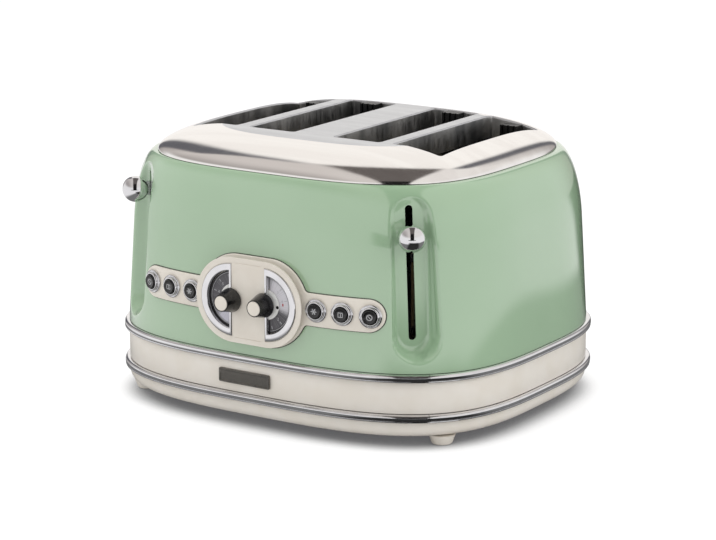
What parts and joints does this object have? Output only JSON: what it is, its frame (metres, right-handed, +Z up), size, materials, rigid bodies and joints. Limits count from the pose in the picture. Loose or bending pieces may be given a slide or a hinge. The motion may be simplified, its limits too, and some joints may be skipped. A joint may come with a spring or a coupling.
{
  "type": "toaster",
  "caption": "Retro toaster with wide front-to-back bread slots, enamelled shell, steel top plate, cream base with bright bands, lever knobs, dial knobs and push buttons.",
  "frame": {"origin": "on the surface it stands on, under the middle of its overall box", "axes": "+Z up, the control panel faces -Y, +X to the right of someone facing +Y"},
  "size_m": [0.3172, 0.2914, 0.196],
  "materials": {
    "enamel": "glossy mint enamel on pressed steel",
    "top_steel": "satin stainless steel, brushed on the flat and polished on the roll",
    "bright_trim": "mirror chrome",
    "cream": "cream moulded plastic, semi-gloss",
    "black_plastic": "black moulded plastic",
    "dial": "silver grey dial plate with printed marks",
    "pewter": "dark pewter-look cast plate",
    "zinc": "zinc plated sheet steel",
    "mica": "mica board",
    "board": "printed circuit board"
  },
  "bodies": {
    "root": {"outer_shell": "enamel", "top_plate": "top_steel", "upper_trim_band": "bright_trim", "base_skirt": "cream", "lower_trim_band": "bright_trim", "base_pan": "cream", "badge_plate": "pewter", "control_panel": "cream", "front_chassis_plate": "zinc", "rear_chassis_plate": "zinc", "cord_gland": "black_plastic", "foot_front_left": "cream", "foot_rear_left": "cream", "dial_bezel_left": "bright_trim", "dial_face_left": "dial", "guide_rod_left": "zinc", "return_spring_left": "zinc", "bread_guide_left": "black_plastic", "control_board_left": "board", "electromagnet_left": "zinc", "heater_board_left_1": "mica", "heater_board_left_2": "mica", "heater_board_left_3": "mica", "button_bezel_left_inner": "bright_trim", "button_bezel_left_middle": "bright_trim", "button_bezel_left_outer": "bright_trim", "foot_front_right": "cream", "foot_rear_right": "cream", "dial_bezel_right": "bright_trim", "dial_face_right": "dial", "guide_rod_right": "zinc", "return_spring_right": "zinc", "bread_guide_right": "black_plastic", "control_board_right": "board", "electromagnet_right": "zinc", "heater_board_right_1": "mica", "heater_board_right_2": "mica", "heater_board_right_3": "mica", "button_bezel_right_inner": "bright_trim", "button_bezel_right_middle": "bright_trim", "button_bezel_right_outer": "bright_trim"},
    "carriage_left": {"carriage_left": "zinc", "lever_ball_left": "bright_trim"},
    "guards_left_inner": {"guard_pair_left_inner": "zinc"},
    "guards_left_outer": {"guard_pair_left_outer": "zinc"},
    "knob_left": {"control_knob_left": "black_plastic", "knob_cap_left": "cream"},
    "button_left_inner": {"push_button_left_inner": "black_plastic"},
    "button_left_middle": {"push_button_left_middle": "black_plastic"},
    "button_left_outer": {"push_button_left_outer": "black_plastic"},
    "carriage_right": {"carriage_right": "zinc", "lever_ball_right": "bright_trim"},
    "guards_right_inner": {"guard_pair_right_inner": "zinc"},
    "guards_right_outer": {"guard_pair_right_outer": "zinc"},
    "knob_right": {"control_knob_right": "black_plastic", "knob_cap_right": "cream"},
    "button_right_inner": {"push_button_right_inner": "black_plastic"},
    "button_right_middle": {"push_button_right_middle": "black_plastic"},
    "button_right_outer": {"push_button_right_outer": "black_plastic"},
    "crumb_tray": {"crumb_tray": "zinc"}
  },
  "joints": [
    {"name": "carriage_left_slide", "type": "slide", "parent": "root", "child": "carriage_left", "axis": [0, 0, -1], "range_m": [-0.0044, 0.0696], "deforming": ["return_spring_left"]},
    {"name": "guards_left_inner_slide", "type": "slide", "parent": "root", "child": "guards_left_inner", "axis": [-1, 0, 0], "range_m": [-0.00054, 0.00706]},
    {"name": "guards_left_outer_slide", "type": "slide", "parent": "root", "child": "guards_left_outer", "axis": [1, 0, 0], "range_m": [-0.00054, 0.00706]},
    {"name": "knob_left_turn", "type": "hinge", "parent": "root", "child": "knob_left", "pos_m": [-0.01365, -0.12537, 0.0918], "axis": [0, 1, 0], "range_deg": [-75, 75]},
    {"name": "button_left_inner_press", "type": "slide", "parent": "root", "child": "button_left_inner", "axis": [0.0795, 0.9968, 0], "range_m": [0, 0.0018], "stiffness_N_per_m": 400, "springref_m": -0.0015},
    {"name": "button_left_middle_press", "type": "slide", "parent": "root", "child": "button_left_middle", "axis": [0.1651, 0.9863, 0], "range_m": [0, 0.0018], "stiffness_N_per_m": 400, "springref_m": -0.0015},
    {"name": "button_left_outer_press", "type": "slide", "parent": "root", "child": "button_left_outer", "axis": [0.2951, 0.9555, 0], "range_m": [0, 0.0018], "stiffness_N_per_m": 400, "springref_m": -0.0015},
    {"name": "carriage_right_slide", "type": "slide", "parent": "root", "child": "carriage_right", "axis": [0, 0, -1], "range_m": [-0.012, 0.062], "deforming": ["return_spring_right"]},
    {"name": "guards_right_inner_slide", "type": "slide", "parent": "root", "child": "guards_right_inner", "axis": [1, 0, 0], "range_m": [-0.0013, 0.0063]},
    {"name": "guards_right_outer_slide", "type": "slide", "parent": "root", "child": "guards_right_outer", "axis": [-1, 0, 0], "range_m": [-0.0013, 0.0063]},
    {"name": "knob_right_turn", "type": "hinge", "parent": "root", "child": "knob_right", "pos_m": [0.01365, -0.12537, 0.0918], "axis": [0, 1, 0], "range_deg": [-75, 75]},
    {"name": "button_right_inner_press", "type": "slide", "parent": "root", "child": "button_right_inner", "axis": [-0.0795, 0.9968, 0], "range_m": [0, 0.0018], "stiffness_N_per_m": 400, "springref_m": -0.0015},
    {"name": "button_right_middle_press", "type": "slide", "parent": "root", "child": "button_right_middle", "axis": [-0.1651, 0.9863, 0], "range_m": [0, 0.0018], "stiffness_N_per_m": 400, "springref_m": -0.0015},
    {"name": "button_right_outer_press", "type": "slide", "parent": "root", "child": "button_right_outer", "axis": [-0.2951, 0.9555, 0], "range_m": [0, 0.0018], "stiffness_N_per_m": 400, "springref_m": -0.0015},
    {"name": "crumb_tray_slide", "type": "slide", "parent": "root", "child": "crumb_tray", "axis": [0, 1, 0], "range_m": [0, 0.17]}
  ],
  "couplings": [
    {"joint": "guards_left_inner_slide", "follows": "carriage_left_slide", "ratio": 0.1},
    {"joint": "guards_left_outer_slide", "follows": "carriage_left_slide", "ratio": 0.1},
    {"joint": "guards_right_inner_slide", "follows": "carriage_right_slide", "ratio": 0.1},
    {"joint": "guards_right_outer_slide", "follows": "carriage_right_slide", "ratio": 0.1}
  ]
}
